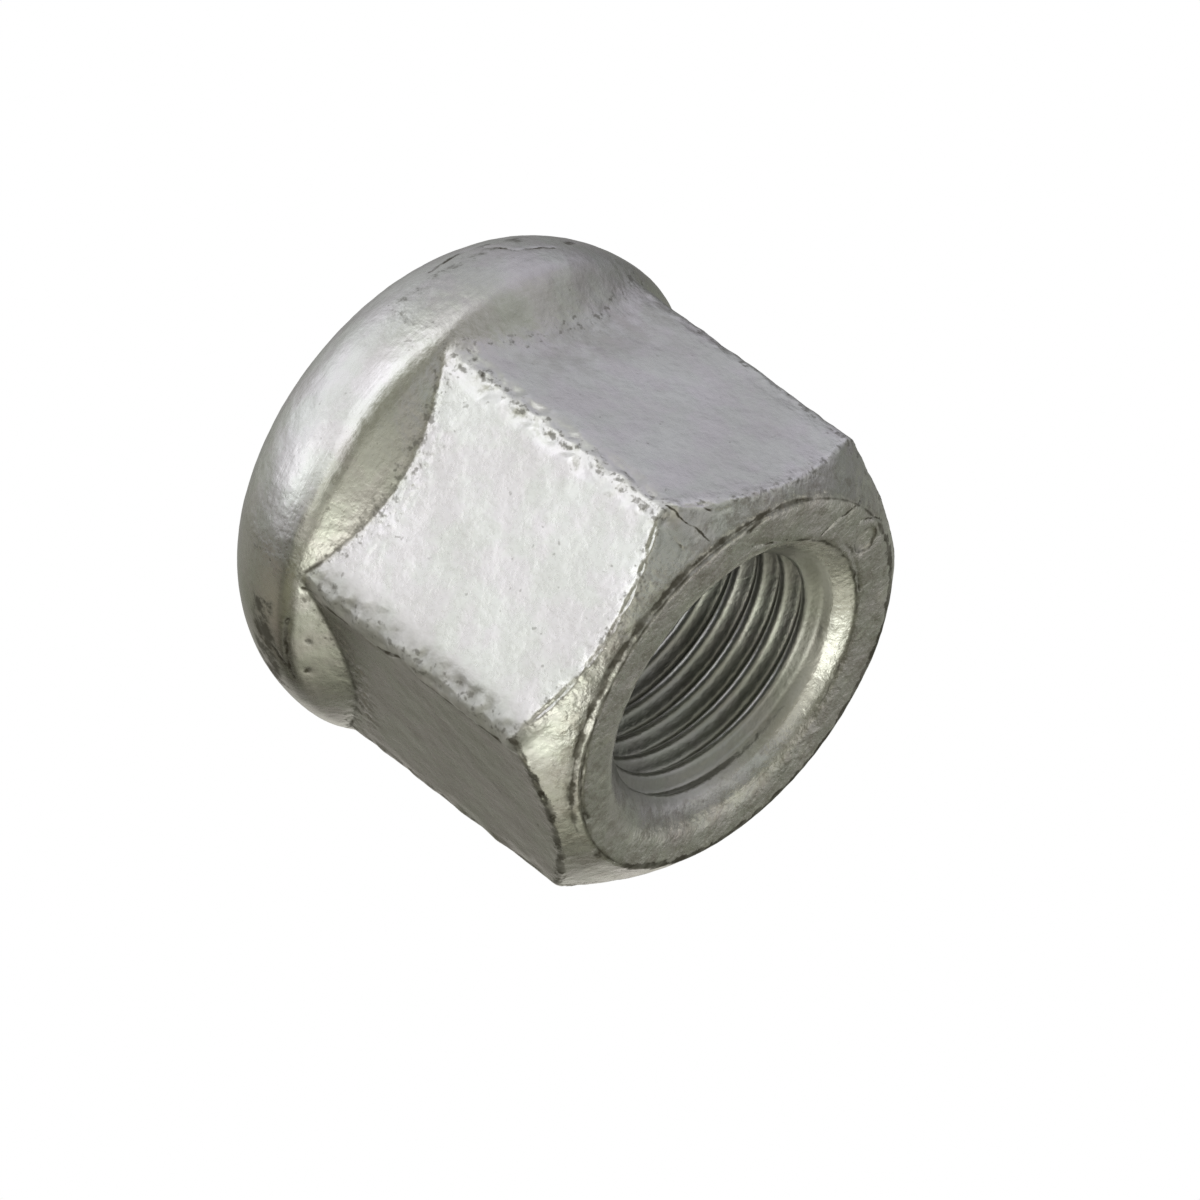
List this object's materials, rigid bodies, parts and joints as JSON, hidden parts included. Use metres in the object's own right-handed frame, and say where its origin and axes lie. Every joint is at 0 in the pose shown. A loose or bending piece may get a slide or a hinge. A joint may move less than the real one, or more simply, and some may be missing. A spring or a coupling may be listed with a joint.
{
  "type": "lug nut",
  "caption": "Open-ended wheel nut with a wrench hexagon, a rounded collar seat and a threaded through hole.",
  "frame": {"origin": "centre of the seat face, on the axis of the thread", "axes": "+Z along the axis of the thread, from the seat end to the wrench end; +X through one upright edge of the hexagon; the nut stands on its seat end"},
  "size_m": [0.0224, 0.0224, 0.0202],
  "materials": {
    "zinc_plated_steel": "satin zinc plate over forged steel, with grime in the corners"
  },
  "bodies": {
    "root": {"lug_nut": "zinc_plated_steel"}
  },
  "joints": []
}
